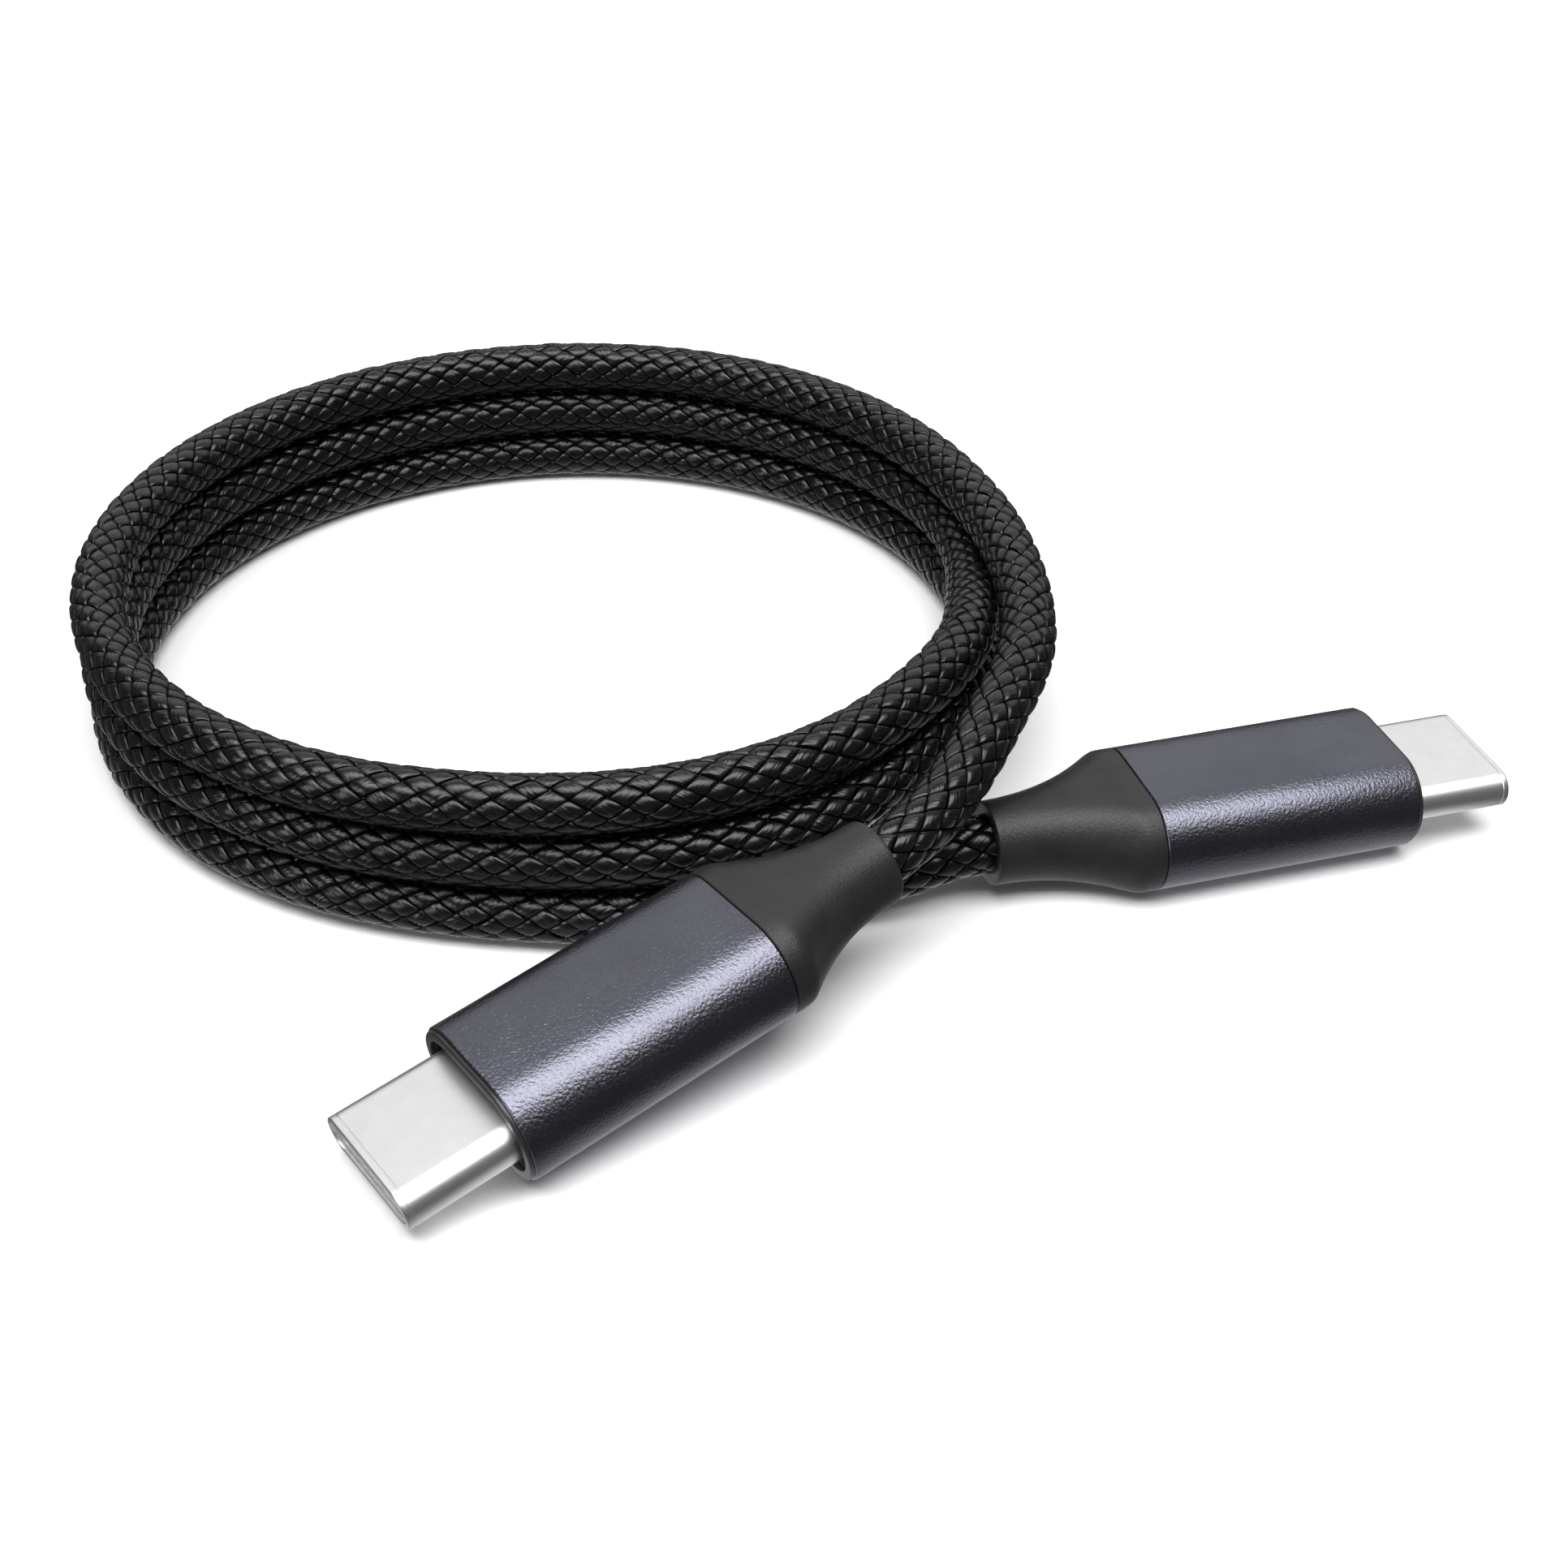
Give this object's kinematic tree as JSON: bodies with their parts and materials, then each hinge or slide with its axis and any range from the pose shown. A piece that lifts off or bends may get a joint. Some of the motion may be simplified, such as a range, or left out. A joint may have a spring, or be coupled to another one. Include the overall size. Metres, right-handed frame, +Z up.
{
  "type": "charging cable",
  "caption": "Braided charging cable wound into a low coil, with a reversible flat metal plug and a soft tapered strain relief at each end.",
  "frame": {"origin": "on the surface the cable lies on, in the middle of the footprint of its two plugs", "axes": "+Z up from that surface, +X from plug A towards plug B along the longer side of that footprint, +Y away from plug A's side towards the back of the coil; the coil's centre is at x -25.8 mm, y 32.6 mm"},
  "size_m": [0.0896, 0.084, 0.0108],
  "materials": {
    "anodised": "bead-blasted and anodised dark slate grey, satin",
    "soft_moulding": "matte charcoal thermoplastic elastomer with a fine grain",
    "black_plastic": "black moulded plastic, low sheen",
    "steel": "satin nickel-plated stainless steel, drawn shell",
    "spring_steel": "rolled stainless spring steel",
    "insulator": "light grey glass-filled moulding",
    "gold": "gold plating on copper alloy",
    "laminate": "green circuit laminate",
    "chip": "black moulded package",
    "hot_melt": "milky inner moulding",
    "braid": "near-black glossy nylon filaments in a tight diamond braid",
    "jacket": "black cable jacket",
    "red": "red wire insulation",
    "black": "black wire insulation",
    "blue": "blue wire insulation",
    "green": "green wire insulation",
    "white": "white wire insulation"
  },
  "bodies": {
    "root": {"plug_a_sleeve": "anodised", "plug_a_bezel": "black_plastic", "plug_a_boot": "soft_moulding", "plug_a_connector_shell": "steel", "plug_a_contact_housing": "insulator", "plug_a_contacts_upper": "gold", "plug_a_contacts_lower": "gold", "plug_a_latch_plate": "spring_steel", "plug_a_emi_spring_upper": "spring_steel", "plug_a_emi_spring_lower": "spring_steel", "plug_a_circuit_board": "laminate", "plug_a_marker_chip": "chip", "plug_a_shield_can": "spring_steel", "plug_a_inner_mould": "hot_melt", "plug_a_crimp_ring": "spring_steel", "plug_a_jacket_end": "jacket", "plug_a_wire_power": "red", "plug_a_wire_ground": "black", "plug_a_wire_sense": "blue", "plug_a_wire_data_plus": "green", "plug_a_wire_data_minus": "white", "plug_b_sleeve": "anodised", "plug_b_bezel": "black_plastic", "plug_b_boot": "soft_moulding", "plug_b_connector_shell": "steel", "plug_b_contact_housing": "insulator", "plug_b_contacts_upper": "gold", "plug_b_contacts_lower": "gold", "plug_b_latch_plate": "spring_steel", "plug_b_emi_spring_upper": "spring_steel", "plug_b_emi_spring_lower": "spring_steel", "plug_b_circuit_board": "laminate", "plug_b_shield_can": "spring_steel", "plug_b_inner_mould": "hot_melt", "plug_b_crimp_ring": "spring_steel", "plug_b_jacket_end": "jacket", "plug_b_wire_power": "red", "plug_b_wire_ground": "black", "plug_b_wire_sense": "blue", "plug_b_wire_data_plus": "green", "plug_b_wire_data_minus": "white", "cord_coil": "braid", "cord_lead_a": "braid", "cord_lead_b": "braid"}
  },
  "joints": []
}
